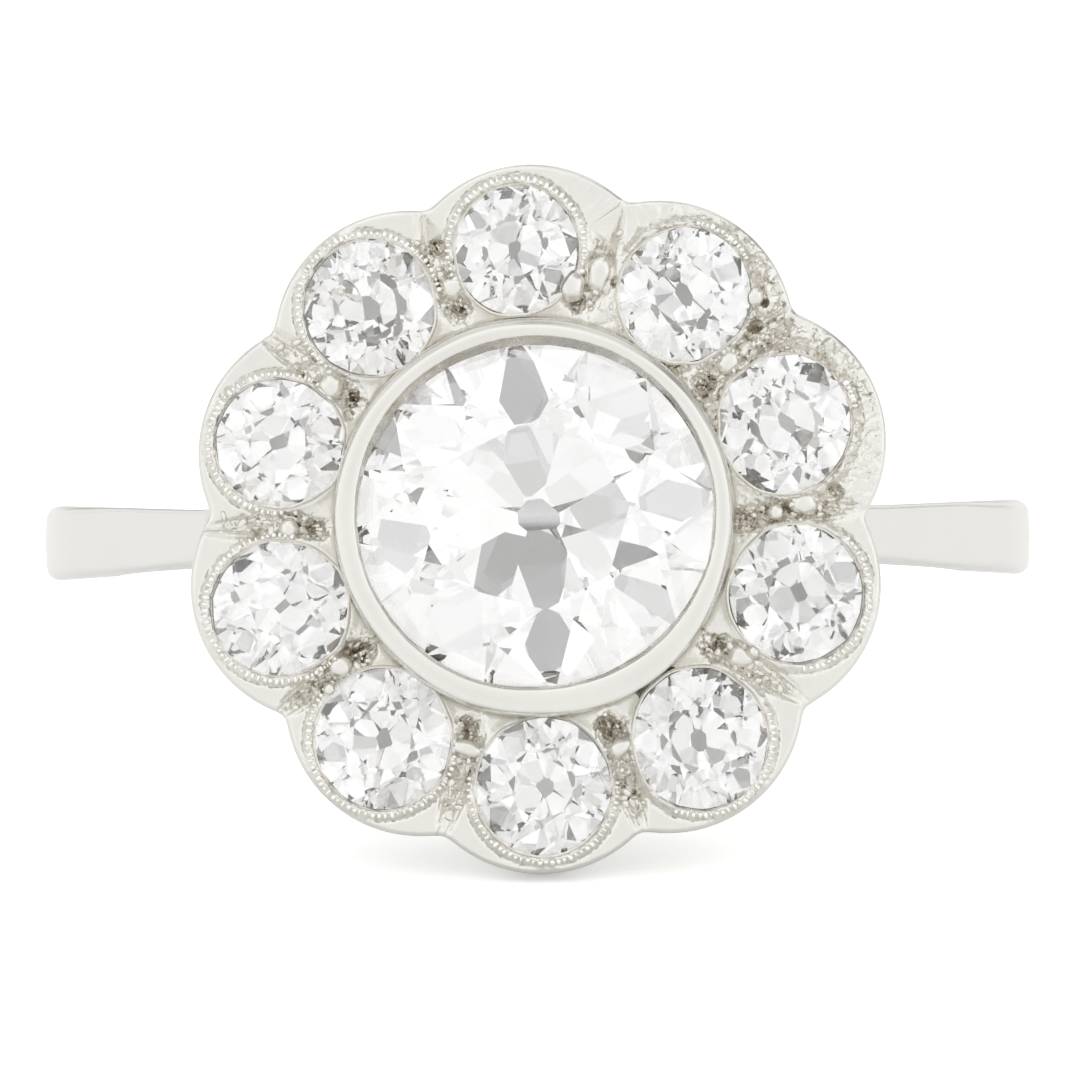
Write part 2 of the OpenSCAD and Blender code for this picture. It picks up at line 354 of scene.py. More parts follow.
mountMaterial = makePlatinum("platinumShank", "shankColour", clouds=0.5, scratches=0.4, pitting=0.4, soften=True)
galleryMaterial = makePlatinum("platinumGallery", "colour", clouds=0.6, scratches=0.35, pitting=0.6, soften=True)
haloMaterial = makePlatinum("platinumHalo", "colour", clouds=0.9, scratches=0.35, pitting=1.0)
colletMaterial = makePlatinum("platinumCollet", "colour", clouds=0.7, scratches=0.3, pitting=0.4)
# milgrain beads: the lighter platinum paints their highlights
grainMaterial = makePlatinum("platinumGrains", "beadHighlightColour", clouds=1.4, scratches=0.2, pitting=0.8)
centreMaterial = makeDiamond("centreDiamond", centreLook)
haloDiamond = makeDiamond("haloDiamond", haloLook)
print("materials made")


# Shank: a bar bent round the finger, narrowest at its back, whose shoulders run on up to the halo

shankBar = {
    "inside": boreMount["dims"]["r_mm"], "outside": 10.229,
    "leaves": 21,                   # degrees up the sides at which the shoulders leave the circle
    "shoulderTop": (6.55, 11.42),   # their outside at the halo
    "end": 4.24,                    # where the inside stops, under the gallery's base ring
    "hollow": [(4.24, 8.20), (4.24, 8.90), (4.24, 9.42), (5.1, 10.30), (5.9, 11.15)],
    "widths": [(-10.3, 0.86), (-8.8, 0.81), (-5.4, 0.81), (-0.8, 1.58), (1.6, 1.58), (10.6, 1.06), (11.6, 1.06)],
    "insideShare": 0.87,            # the sides draw in towards the finger
    "outerEdge": [(2.4, 0.30), (6.0, 0.13)],    # radius by height: the shoulders have crisper edges
    "innerEdge": 0.12,
    "crown": 0.02,                  # how much the outside bellies out
    "smoothAngle": 30,
}


def shankStations(sizes):
    # outside and inside of the bar, from its back round to the halo on the right
    outside, inside = sizes["outside"], sizes["inside"]
    stations = []
    for turn in np.radians(np.linspace(-90, sizes["leaves"], 84)):
        way = np.array([math.cos(turn), math.sin(turn)])
        stations.append((way * outside, way * inside))
    first = math.radians(sizes["leaves"])
    last = math.acos(sizes["end"] / inside)
    foot, top = stations[-1][0], np.array(sizes["shoulderTop"])
    for share in np.linspace(0, 1, 33)[1:]:
        turn = first + (last - first) * share
        stations.append((foot + (top - foot) * share, inside * np.array([math.cos(turn), math.sin(turn)])))
    for point in sizes["hollow"]:
        stations.append((top, np.array(point)))
    return stations


def halfWidths(sizes):
    # half the shank's width by height, with no kinks where it narrows
    heights, widths = np.array(sizes["widths"]).T
    fine = np.linspace(heights[0], heights[-1], 400)
    halves = np.pad(np.interp(fine, heights, widths) / 2, 35, mode="edge")
    return fine, np.convolve(halves, hanningOf(71), "valid")


def barSection(outer, inner, halves, sizes):
    # rounded section standing on the two points; its sides follow the width at each point's own height
    deep = float(np.hypot(*(outer - inner)))
    narrow = sizes["insideShare"]
    outerEdge = float(np.interp(outer[1], *np.array(sizes["outerEdge"]).T))
    corners = [  # height over the finger, side, radius, the turn at which its arc starts, and points in it
        (deep, 1, outerEdge, 0, 7), (0, 1, sizes["innerEdge"], 90, 4),
        (0, -1, sizes["innerEdge"], 180, 4), (deep, -1, outerEdge, 270, 7)]
    section = []
    for up, side, edge, first, count in corners:
        radius = min(edge, 0.45 * deep)
        for turn in np.radians(np.linspace(first, first + 90, count)):
            share = (up - math.copysign(radius, up - deep / 2) + radius * math.cos(turn)) / deep
            x, z = inner + (outer - inner) * share
            half = float(np.interp(z, *halves)) * (narrow + (1 - narrow) * share)
            section.append((x, side * (half - radius) + radius * math.sin(turn), z))
    x, z = outer + (outer - inner) / deep * sizes["crown"]
    section.append((x, 0.0, z))
    return section


def buildShank(sizes):
    halves = halfWidths(sizes)
    right = [barSection(outer, inner, halves, sizes) for outer, inner in shankStations(sizes)]
    left = [[(-x, y, z) for x, y, z in section] for section in right]
    sections = left[::-1] + right[1:]
    around = len(sections[0])
    rings = np.arange(around * len(sections)).reshape(-1, around).tolist()
    faces = [rings[0], rings[-1]]
    for ring, after in zip(rings, rings[1:]):
        faces += quadsBetween(ring, after)
    mesh = newMesh("shank", [point for section in sections for point in section], faces)
    faceOutwards(mesh, weld=0.0005)
    smoothByAngle(mesh, sizes["smoothAngle"])
    return weighNormals(newPiece("shank", mesh, mountMaterial, ringToRow))


shank = buildShank(shankBar)
print("shank:", len(shank.data.polygons), "faces")


# Gallery: petals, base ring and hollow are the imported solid's own, without its shank and its halo

gallerySizes = {
    "cutHeight": 11.45,    # the halo plate begins here
    "underside": 8.766,    # all below is shank
    "shoulderFrom": 4.15,  # distance from the middle at which the shoulders begin
    "reach": 0.85,         # half the room that they take
    "smoothAngle": 32,
}


def onShoulder(face, sizes):
    middle, normal = face.calc_center_median(), face.normal
    if middle.z < sizes["underside"]:
        return True
    if abs(middle.y + headOffset) > sizes["reach"] or abs(middle.x) < sizes["shoulderFrom"]:
        return False
    outside = abs(normal.x) > 0.85 and normal.z > 0.2 and abs(normal.y) < 0.1
    return abs(normal.y) > 0.95 or outside


def buildGallery(sizes):
    mesh = cadNodes["ring_mount"].data.copy()
    mesh.name = "gallery"
    mesh.transform(headToRow.inverted())
    mesh.materials.clear()
    if mesh.has_custom_normals:
        mesh.attributes.remove(mesh.attributes["custom_normal"])
    body = bmesh.new()
    body.from_mesh(mesh)
    bmesh.ops.remove_doubles(body, verts=body.verts, dist=0.0004)
    rim = cutPlane(body, (0, 0, sizes["cutHeight"]), (0, 0, 1))
    bmesh.ops.triangle_fill(body, edges=rim, use_beauty=True)
    cutPlane(body, (0, 0, sizes["underside"]), (0, 0, 1), clear=False)
    bmesh.ops.delete(body, geom=[face for face in body.faces if onShoulder(face, sizes)], context="FACES")
    bmesh.ops.delete(body, geom=[vert for vert in body.verts if not vert.link_faces], context="VERTS")
    bmesh.ops.holes_fill(body, edges=[edge for edge in body.edges if edge.is_boundary], sides=0)
    bmesh.ops.triangulate(body, faces=[face for face in body.faces if len(face.verts) > 4])
    bmesh.ops.dissolve_degenerate(body, dist=0.0002, edges=body.edges)
    body.to_mesh(mesh)
    body.free()
    smoothByAngle(mesh, sizes["smoothAngle"])
    return weighNormals(newPiece("gallery", mesh, galleryMaterial))


gallery = buildGallery(gallerySizes)
print("gallery:", len(gallery.data.polygons), "faces")


# Seats of the halo stones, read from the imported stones

def readSeat(name):
    points = nodePoints(name, headToRow)
    middle = middleOf(points)
    half = (points.max(0) - points.min(0)) / 2
    reach = np.hypot((points[:, 0] - middle[0]) / half[0], (points[:, 1] - middle[1]) / half[1])
    return {
        "x": middle[0], "y": middle[1], "halfWidth": half[0], "halfLength": half[1],
        "size": (half[0] + half[1]) / 2, "girdle": float(points[reach > 0.97][:, 2].mean()),
        "angle": math.atan2(middle[1], middle[0]), "out": math.hypot(middle[0], middle[1]),
    }


haloNames = sorted(name for name in cadNodes if name.startswith("halo_stone_"))
seats = [readSeat(name) for name in haloNames]
centreSeat = readSeat("centre_stone")
print("seats read:", len(seats) + 1)


# Repeatable noise for the hand-worked surfaces

latticeCells = 64     # each way, after which the pattern comes round again


def lattice(x, y, size, seed, channels):
    # a table of chances, and the place and the cell of each point in it
    table = np.random.default_rng(seed).random((latticeCells, latticeCells, channels))
    u, v = x / size, y / size
    return table, u, v, np.floor(u).astype(int), np.floor(v).astype(int)


def softNoise(x, y, size, seed):
    table, u, v, iu, iv = lattice(x, y, size, seed, 1)
    table = table[..., 0]
    fu, fv = u - iu, v - iv
    fu, fv = fu * fu * (3 - 2 * fu), fv * fv * (3 - 2 * fv)
    left, right, below, above = (place % latticeCells for place in (iu, iu + 1, iv, iv + 1))
    low = table[left, below] * (1 - fu) + table[right, below] * fu
    high = table[left, above] * (1 - fu) + table[right, above] * fu
    return 2 * (low * (1 - fv) + high * fv) - 1


def toolMarks(x, y, size, seed):
    # the tilt of the nearest tool mark, from -1 to 1, how near the seam to the next mark is, and a chance for each
    table, u, v, iu, iv = lattice(x, y, size, seed, 4)
    nearest, following = np.full(x.shape, 9.0), np.full(x.shape, 9.0)
    tilt, chance = np.zeros(x.shape), np.zeros(x.shape)
    for du in (-1, 0, 1):
        for dv in (-1, 0, 1):
            cell = table[(iu + du) % latticeCells, (iv + dv) % latticeCells]
            au, av = u - (iu + du + cell[..., 0]), v - (iv + dv + cell[..., 1])
            apart = np.sqrt(au * au + av * av)
            closer = apart < nearest
            following = np.where(closer, nearest, np.minimum(following, apart))
            nearest = np.where(closer, apart, nearest)
            tilt = np.where(closer, (au * (cell[..., 2] - 0.5) + av * (cell[..., 3] - 0.5)) * 4, tilt)
            chance = np.where(closer, (cell[..., 2] * 7 + cell[..., 3] * 5) % 1, chance)
    return np.clip(tilt, -1, 1), rise(0.15, 0.03, following - nearest), chance


def rise(low, high, value):
    t = np.clip((value - low) / (high - low), 0, 1)
    return t * t * (3 - 2 * t)


def bump(value, middle, width):
    return np.exp(-((value - middle) / width) ** 2)


# Halo plate

haloPlate = {
    "face": 12.2, "foot": 11.40, "lobeRadius": 2.69, "valleyBlend": 0.07, "edgeRound": 0.10,
    "lobes": [  # angle and reach of each lobe, clockwise from the top
        (90.6, 7.048), (55.4, 7.09), (19.1, 7.26), (-17.9, 7.10), (-53.9, 7.15),
        (-88.9, 7.09), (-122.4, 6.99), (-162.4, 7.07), (162.1, 6.90), (125.8, 6.95)],
    "colletHole": 3.70,
    "lip": 0.042,          # how far the metal laps over a stone
    "lipFade": 0.03,       # how much of that is cut back towards the collet
    "lipUneven": 0.048,    # slow unevenness of that edge
    "lipRough": 0.018,     # and quick
    "lipHeight": 0.085,    # least height of that edge over the face
    "edgePoints": 1300, "seatPoints": 150, "colletPoints": 400,  # in each loop
    "edgeSteps": (0.008, 0.022, 0.042, 0.07, 0.105, 0.15),       # loops of loose points inside the edge
    "bankSteps": (-0.015, 0.01, 0.035, 0.065, 0.10, 0.14, 0.18, 0.205, 0.235, 0.28),  # and round each stone
    "spacing": 0.044,      # of the loose points between the edges
    "gapSpacing": 0.027,   # and of those in the worked gaps
    "smoothAngle": 42,
}

# What the setter left between neighbouring stones, clockwise from the gap after the top stone.
# Grains are angle, distance, half across and half along; pockets are angle, distance, radius, depth and dirt, the dirt
# with painted shade.
gapWork = [
    {"grains": [(80.6, 4.68, 0.27, 0.36), (74.9, 5.02, 0.27, 0.42)],
     "pockets": [(78.5, 4.36, 0.20, 0.20, 0.9), (80.0, 6.32, 0.13, 0.20, 0.8), (76.0, 6.02, 0.12, 0.14, 0.6),
                 (70.6, 4.95, 0.12, 0.18, 0.8)]},
    {"grains": [(44.9, 6.20, 0.20, 0.24), (38.6, 4.95, 0.24, 0.30)],
     "pockets": [(42.6, 6.26, 0.08, 0.18, 1.0), (40.8, 5.84, 0.15, 0.20, 1.0), (37.7, 4.32, 0.28, 0.20, 0.9)]},
    {"grains": [(2.8, 5.37, 0.26, 0.30), (1.0, 4.80, 0.20, 0.18)],
     "pockets": [(4.8, 6.00, 0.16, 0.26, 1.0), (-0.9, 4.24, 0.34, 0.18, 0.8), (1.4, 5.00, 0.16, 0.12, 0.7)]},
    {"grains": [(-34.5, 4.93, 0.25, 0.29), (-31.8, 5.10, 0.13, 0.16)],
     "pockets": [(-35.9, 4.46, 0.34, 0.24, 1.0)]},
    {"grains": [(-69.9, 4.87, 0.31, 0.20)],
     "pockets": [(-70.8, 4.45, 0.28, 0.22, 1.0), (-58.0, 4.06, 0.16, 0.30, 1.0), (-50.0, 4.12, 0.16, 0.30, 1.0)]},
    {"grains": [(-106.9, 4.78, 0.42, 0.20)],
     "pockets": [(-107.8, 4.38, 0.24, 0.20, 0.9), (-102.8, 5.14, 0.12, 0.20, 0.9)]},
    {"grains": [(-142.9, 4.87, 0.25, 0.27), (-140.5, 5.32, 0.15, 0.15)],
     "pockets": [(-143.8, 4.40, 0.32, 0.22, 1.0)]},
    {"grains": [(-178.0, 4.90, 0.22, 0.22)],
     "pockets": [(-177.5, 4.36, 0.27, 0.20, 0.8)]},
    {"grains": [(146.8, 4.83, 0.30, 0.26)],
     "pockets": [(146.4, 4.33, 0.17, 0.30, 1.0), (150.5, 4.22, 0.12, 0.16, 0.6)]},
    {"grains": [(109.2, 4.86, 0.28, 0.26)],
     "pockets": [(108.9, 4.42, 0.23, 0.20, 0.9), (109.2, 5.72, 0.14, 0.30, 1.0)]},
]
outerCuts = {"from": 5.15, "to": 6.72, "spread": 0.17, "halfWidth": 0.17, "depth": 0.10, "fluting": 0.085, "seed": 11}


def insideHalo(x, y):
    # how far inside the scalloped edge a point lies, with the valleys a little rounded
    blend, radius = haloPlate["valleyBlend"], haloPlate["lobeRadius"]
    total = np.zeros(np.shape(x))
    for angle, reach in haloPlate["lobes"]:
        lobeX, lobeY = polar(angle, reach - radius)
        depth = radius - np.hypot(x - lobeX, y - lobeY)
        total += np.exp(np.clip(depth / blend, -60, 60))
    return blend * np.log(total)


def edgeLoop(depth):
    # points round the plate that lie this far inside its edge
    angles = np.linspace(0, fullTurn, haloPlate["edgePoints"], endpoint=False)
    low, high = np.full(angles.shape, 5.0), np.full(angles.shape, 7.6)
    for _ in range(34):
        middle = (low + high) / 2
        inside = insideHalo(middle * np.cos(angles), middle * np.sin(angles)) > depth
        low, high = np.where(inside, middle, low), np.where(inside, high, middle)
    radius = (low + high) / 2
    return list(zip(radius * np.cos(angles), radius * np.sin(angles)))


def seatLoop(seat, grow):
    # points round a stone, this far outside its edge, uneven where the metal laps over it
    turns = np.linspace(0, fullTurn, haloPlate["seatPoints"], endpoint=False)
    noiseX, noiseY = 9 * seat["x"] + 3 * np.cos(turns), 3 * np.sin(turns)
    shift = haloPlate["lipFade"] * rise(-0.35, -0.9, np.cos(turns - seat["angle"]))
    shift += haloPlate["lipUneven"] * softNoise(noiseX, noiseY, 2.1, 73)
    shift += haloPlate["lipRough"] * softNoise(noiseX, noiseY, 0.6, 71)
    shift *= rise(0.12, 0.03, grow)
    x = seat["x"] + (seat["halfWidth"] + grow + shift) * np.cos(turns)
    y = seat["y"] + (seat["halfLength"] + grow + shift) * np.sin(turns)
    return list(zip(x.tolist(), y.tolist()))


def stoneDistances(x, y):
    # distance to the nearest and next stone's edge, and how far the point faces outwards from its stone
    apart, outward = [], []
    for seat in seats:
        dx, dy = x - seat["x"], y - seat["y"]
        share = np.hypot(dx / seat["halfWidth"], dy / seat["halfLength"])
        apart.append((share - 1) * seat["size"])
        outward.append((dx * seat["x"] + dy * seat["y"]) / ((np.hypot(dx, dy) + 1e-9) * seat["out"]))
    apart, outward = np.array(apart), np.array(outward)
    order = np.argsort(apart, axis=0)
    nearest, following = order[:1], order[1:2]
    return (np.take_along_axis(apart, nearest, 0)[0], np.take_along_axis(apart, following, 0)[0],
            np.take_along_axis(outward, nearest, 0)[0])


def gapAngle(index):
    first, second = seats[index]["angle"], seats[(index + 1) % len(seats)]["angle"]
    if second > first:
        second -= fullTurn
    return (first + second) / 2


def alongAndAcross(x, y, angle):
    return x * math.cos(angle) + y * math.sin(angle), y * math.cos(angle) - x * math.sin(angle)


def outerStroke(x, y, middle, side, near, rng):
    # one fluted cut beside the middle of a gap, out towards the valley: what it does to the height, and its dirt,
    # which paints shade into the flutes' troughs
    start = outerCuts["from"] + rng.uniform(-0.1, 0.25)
    end = outerCuts["to"] + rng.uniform(-0.28, 0.05)
    along, across = alongAndAcross(x, y, middle)
    share = np.clip((along - start) / (end - start), 0, 1)
    across = across - (side * outerCuts["spread"] * (1 - 0.7 * share) + rng.uniform(-0.05, 0.05))
    width = outerCuts["halfWidth"] * rng.uniform(0.75, 1.25)
    leaf = np.sin(np.pi * share) ** 0.6
    groove = np.clip(1 - np.abs(across) / (width * leaf + 1e-6), 0, 1)
    fluting = np.cos(fullTurn * across / outerCuts["fluting"] + rng.uniform(0, 6))
    depth = outerCuts["depth"] * rng.uniform(0.7, 1.3) * rise(0.0, 0.12, near)
    change = leaf * (rise(0, 0.3, groove) * fluting * 0.012 - groove * depth)
    return change, leaf * rise(0, 0.25, groove) * (0.03 + 0.14 * rise(0.2, -1, fluting))


def relief(x, y):
    # height over the halo's face, and dirt with painted shade in creases, pockets and joints, for points on the plate
    inside = insideHalo(x, y)
    near, second, outward = stoneDistances(x, y)
    out = np.hypot(x, y)
    edge = haloPlate["edgeRound"]
    depth = np.clip(edge - inside, 0, edge)
    z = np.sqrt(edge * edge - depth * depth) - edge
    facing = rise(-0.25, 0.35, outward)
    gap = rise(0.80, 0.42, second)
    # graver strokes run outwards, so the marks are stretched that way
    around = 5.2 * (np.arctan2(y, x) + 1.0) % (10.4 * math.pi)
    broad, seams, _ = toolMarks(out * 0.65, around, 0.19, 3)
    fine, fineSeams, chance = toolMarks(out * 0.45, around, 0.105, 4)
    patchy = rise(-0.35, 0.45, softNoise(x, y, 0.42, 51))
    squiggle = bump(softNoise(x, y, 0.19, 52) + 0.3 * softNoise(x, y, 0.08, 53), 0.0, 0.10)
    speckle = rise(-0.2, 0.6, softNoise(x, y, 0.10, 61))
    # milgrain bank round each stone, the line cut outside it, and the lowered metal in the gaps
    z += (0.045 + 0.065 * facing) * bump(near, 0.05, 0.095) * rise(-0.06, 0.0, near + 0.04)
    z -= 0.030 * bump(near, 0.205, 0.03) * facing * rise(0.1, 0.16, inside)
    z -= gap * rise(0.05, 0.14, near) * 0.085
    worked = gap * rise(0.02, 0.10, inside)
    z += worked * (broad * 0.052 + fine * 0.030 - seams * (0.01 + 0.034 * patchy) - 0.046 * squiggle)
    # dirt and painted shade along the seams and squiggles of the worked gaps
    dirtAndShade = worked * (0.55 + 0.45 * rise(5.3, 4.7, out)) * (
        0.20 * seams * patchy + 0.40 * squiggle * patchy + 0.14 * rise(0.72, 0.9, chance) - 0.08 * broad - 0.02)
    # dirt and painted shade in the milgrain: a dark line against the stone, and specks between the beads
    dirtAndShade += (0.10 + (0.22 + 0.60 * facing) * speckle) * bump(near, -0.028, 0.034)
    dirtAndShade += speckle * facing * (0.22 * bump(near, 0.165, 0.035) + 0.28 * bump(near, 0.085, 0.05))
    # and short strokes across the bank
    strokes = facing * bump(near, 0.11, 0.09)
    z += strokes * fine * 0.03
    dirtAndShade += strokes * 0.16 * fineSeams * patchy
    # the worn rims at the upper right carry tool marks right out
    wornAndShaded = bump(np.degrees(np.arctan2(y, x)), 38, 30) * rise(0.05, 0.14, inside) * (1 - gap)
    z += wornAndShaded * (broad * 0.045 + fine * 0.035 - squiggle * 0.045)
    # with dirt and painted shade in their squiggles and seams
    dirtAndShade += wornAndShaded * (0.34 * squiggle * patchy + 0.14 * seams * patchy + 0.08 * rise(0.7, 0.9, chance))
    z += rise(0.05, 0.2, inside) * softNoise(x, y, 0.55, 7) * 0.006
    ragged = 0.9 + 0.30 * softNoise(x, y, 0.16, 21) + 0.35 * broad + 0.15 * fine
    rng = np.random.default_rng(outerCuts["seed"])
    for index, work in enumerate(gapWork):
        for side in (-1, 1):
            change, soilAndShade = outerStroke(x, y, gapAngle(index), side, near, rng)
            z += change
            dirtAndShade += soilAndShade
        for angle, distance, wide, long in work["grains"]:
            grainX, grainY = polar(angle, distance)
            along, across = alongAndAcross(x - grainX, y - grainY, math.radians(angle))
            foot = bump(np.hypot(along / long, across / wide), 1.06, 0.16) * rise(0.0, 0.06, near)
            # a dip round each grain's foot, with dirt and painted shade in it
            z -= foot * 0.035
            dirtAndShade += foot * (0.12 + 0.34 * speckle)
        for angle, distance, radius, sunk, grimeAndShade in work["pockets"]:
            pocketX, pocketY = polar(angle, distance)
            hole = rise(1.15, 0.60, np.hypot(x - pocketX, y - pocketY) / (radius * ragged))
            z -= hole * (0.62 * sunk - 0.05 * broad - 0.04 * fine + 0.04 * fineSeams) * rise(-0.01, 0.05, near)
            # each pocket's dirt and painted shade, near black where deepest
            dirtAndShade += hole * grimeAndShade * (0.58 * seams + 0.18 * fineSeams + 0.28 * squiggle
                                    + 0.38 * rise(0.55, 0.8, chance) - 0.10 * fine)
    z -= 0.10 * rise(4.06, 3.90, out)
    # dirt and painted shade against the collet
    dirtAndShade += 0.12 * speckle * rise(4.12, 4.0, out)
    return z, np.clip(dirtAndShade, 0, 1)


def thinPoints(groups, spacing):
    # keeps the first point of any two that lie closer than the spacing
    kept, cells = [], {}
    for points, closeness in groups:
        for px, py in points:
            column, row = int(px // spacing), int(py // spacing)
            around = [point for du in (-1, 0, 1) for dv in (-1, 0, 1)
                      for point in cells.get((column + du, row + dv), ())]
            if all((px - qx) ** 2 + (py - qy) ** 2 >= closeness * closeness for qx, qy in around):
                cells.setdefault((column, row), []).append((px, py))
                kept.append((px, py))
    return kept


def platePoints(sizes):
    # loose points of the plate's top, closest together along its edges and in the gaps
    loose = [(edgeLoop(depth), 0.008) for depth in sizes["edgeSteps"]]
    loose += [(seatLoop(seat, grow), 0.016) for grow in sizes["bankSteps"] for seat in seats]
    for step, worked in ((sizes["gapSpacing"], True), (sizes["spacing"], False)):
        count = int(15 / step)
        column, row = np.meshgrid(np.arange(count), np.arange(count))
        gridX = -7.5 + (column + 0.5 * (row % 2)) * step
        gridY = -7.5 + row * step * 0.87
        wornSide = np.abs(np.degrees(np.arctan2(gridY, gridX)) - 40) < 34
        busy = ((stoneDistances(gridX, gridY)[1] < 0.8) | wornSide) == worked
        loose.append((np.stack([gridX[busy], gridY[busy]], axis=1), step * 0.62))
    groups = []
    for points, closeness in loose:
        x, y = np.array(points).T
        good = (insideHalo(x, y) > 0.004) & (stoneDistances(x, y)[0] > 0.012 - sizes["lip"])
        good &= np.hypot(x, y) > sizes["colletHole"] + 0.02
        groups.append((np.stack([x[good], y[good]], axis=1).tolist(), closeness))
    return thinPoints(groups, 0.05)


def fillFlat(loops, extra):
    # triangles between closed loops and loose points; also which of the given points each new one is
    points = [Vector(point) for loop in loops for point in loop] + [Vector(point) for point in extra]
    edges, start = [], 0
    for loop in loops:
        own = list(range(start, start + len(loop)))
        edges += zip(own, own[1:] + own[:1])
        start += len(loop)
    made = delaunay_2d_cdt(points, edges, [], 0, 1e-6)
    triangles = [face for face in made[2] if len(face) == 3]
    return np.array([tuple(point) for point in made[0]]), np.array(triangles), made[3]


def insideLoop(points, loop):
    hits = np.zeros(len(points), int)
    for (ax, ay), (bx, by) in zip(loop, np.roll(loop, -1, axis=0)):
        if ay != by:
            crosses = (points[:, 1] > ay) != (points[:, 1] > by)
            hits += crosses & (points[:, 0] < ax + (points[:, 1] - ay) * (bx - ax) / (by - ay))
    return hits % 2 == 1


def buildPlate(sizes):
    hole, face, foot = sizes["colletHole"], sizes["face"], sizes["foot"]
    outline = edgeLoop(0.002)
    turns = np.linspace(0, fullTurn, sizes["colletPoints"], endpoint=False)
    inner = [(hole * math.cos(turn), hole * math.sin(turn)) for turn in turns]
    seatEdges = [seatLoop(seat, -sizes["lip"]) for seat in seats]
    fixed = [outline, inner] + seatEdges
    flat, faces, given = fillFlat(fixed, platePoints(sizes))
    newNumber = {old[0]: k for k, old in enumerate(given) if old}
    middles = flat[faces].mean(1)
    keep = (insideHalo(*middles.T) > 0) & (np.hypot(*middles.T) > hole)
    for loop in seatEdges:
        keep &= ~insideLoop(middles, np.array(loop))
    loops, start = [], 0
    for loop in fixed:
        loops.append([newNumber[start + k] for k in range(len(loop))])
        start += len(loop)
    height, dirtAndShade = relief(*flat.T)
    for loop in loops[2:]:
        height[loop] = np.maximum(height[loop], sizes["lipHeight"])
    points = [(x, y, face + z) for (x, y), z in zip(flat, height)]
    dirtAndShade = list(dirtAndShade)
    allFaces = [tuple(corners) for corners in faces[keep]]

    def wallDown(top, levels):
        # rings of new points below a loop, each at a height and with its dirt and painted shade
        for spots, z, grimeAndShade in levels:
            below = list(range(len(points), len(points) + len(spots)))
            points.extend((x, y, z) for x, y in spots)
            dirtAndShade.extend([grimeAndShade] * len(spots))
            allFaces.extend(quad[::-1] for quad in quadsBetween(top, below))
            top = below
        return top

    bottoms = [
        wallDown(loops[0], [(outline, face - 0.3, 0.0), (outline, face - 0.52, 0.0), (outline, foot + 0.05, 0.0),
                            (edgeLoop(0.04), foot, 0.1)]),
        wallDown(loops[1], [(inner, foot, 0.3)])]
    for seat, loop in zip(seats, loops[2:]):
        girdle = seat["girdle"]
        back = -0.38 * seat["size"]     # the open back of the seat
        bottoms.append(wallDown(loop, [
            (seatLoop(seat, grow), z, grimeAndShade) for grow, z, grimeAndShade in (
                (-0.005, girdle + 0.055, 0.3), (0.03, girdle + 0.03, 0.15), (0.03, girdle - 0.06, 0.1),
                (back, girdle - 0.60, 0.05), (back, foot, 0.05))]))
    # flat underside through the bottom loops
    names = [k for loop in bottoms for k in loop]
    under, faces, given = fillFlat([[points[k][:2] for k in loop] for loop in bottoms], [])
    middles = under[faces].mean(1)
    keep = (insideHalo(*middles.T) >= 0.04) & (np.hypot(*middles.T) >= hole)
    for seat in seats:
        keep &= np.hypot((middles[:, 0] - seat["x"]) / seat["halfWidth"],
                         (middles[:, 1] - seat["y"]) / seat["halfLength"]) >= 0.62
    allFaces += [tuple(names[given[k][0]] for k in corners)[::-1] for corners in faces[keep]]
    mesh = newMesh("haloPlate", points, allFaces, dirtAndShade)
    mesh.validate()
    faceOutwards(mesh)
    smoothByAngle(mesh, sizes["smoothAngle"])
    return newPiece("haloPlate", mesh, haloMaterial)


plate = buildPlate(haloPlate)
print("halo plate:", len(plate.data.polygons), "faces")


# Centre collet: a tapered tube that leans a touch, with its rim burnished over the stone

collet = {
    "edges": [  # angle, then the rim's outer edge, its inner edge and where the inner slope meets the stone
        (0, 3.885, 3.58, 3.54), (22, 3.86, 3.58, 3.53), (45, 3.81, 3.56, 3.50), (60, 3.78, 3.55, 3.42),
        (75, 3.76, 3.53, 3.37), (90, 3.76, 3.51, 3.345), (105, 3.77, 3.50, 3.345), (120, 3.78, 3.51, 3.365),
        (135, 3.81, 3.535, 3.395), (150, 3.86, 3.54, 3.43), (165, 3.90, 3.54, 3.48), (180, 3.94, 3.54, 3.51),
        (200, 3.94, 3.55, 3.52), (225, 3.91, 3.52, 3.48), (250, 3.96, 3.51, 3.46), (270, 3.94, 3.465, 3.42),
        (285, 4.00, 3.475, 3.43), (300, 4.05, 3.51, 3.44), (315, 4.01, 3.53, 3.46), (330, 3.94, 3.55, 3.50),
        (345, 3.87, 3.58, 3.54)],
    "footRadius": 4.02, "foot": 11.30, "rim": 13.838,
    "lean": (0.0, 0.06),   # how far the rim's middle lies from the foot's
    "wall": [(0.0, 11.30), (0.0, 12.14), (0.12, 12.22), (0.26, 12.30), (0.36, 12.42), (0.42, 12.60), (0.45, 13.40),
             (0.50, 13.58), (0.60, 13.68), (0.75, 13.745), (0.90, 13.785)],     # share of the flare, and height
    "top": [(0.0, 13.805), (0.03, 13.825), (0.10, 13.835), (0.5, 13.838), (0.86, 13.834),
            (0.95, 13.822), (1.0, 13.80)],                                      # share of the rim, and height
    "bore": [(3.66, 13.54), (3.68, 13.36), (3.10, 12.72), (2.95, 11.60), (2.90, 11.30)],  # radius and height
    "around": 420,
    "crownAngle": 33.0,    # of the stone that the rim lies on
    "girdle": 0.018,       # half that stone's girdle, as a share of its radius
    "stoneGap": 0.012,
    "brownAt": 128,        # degrees round at which the dirt and painted shade are thickest
    "smoothAngle": 50,
}


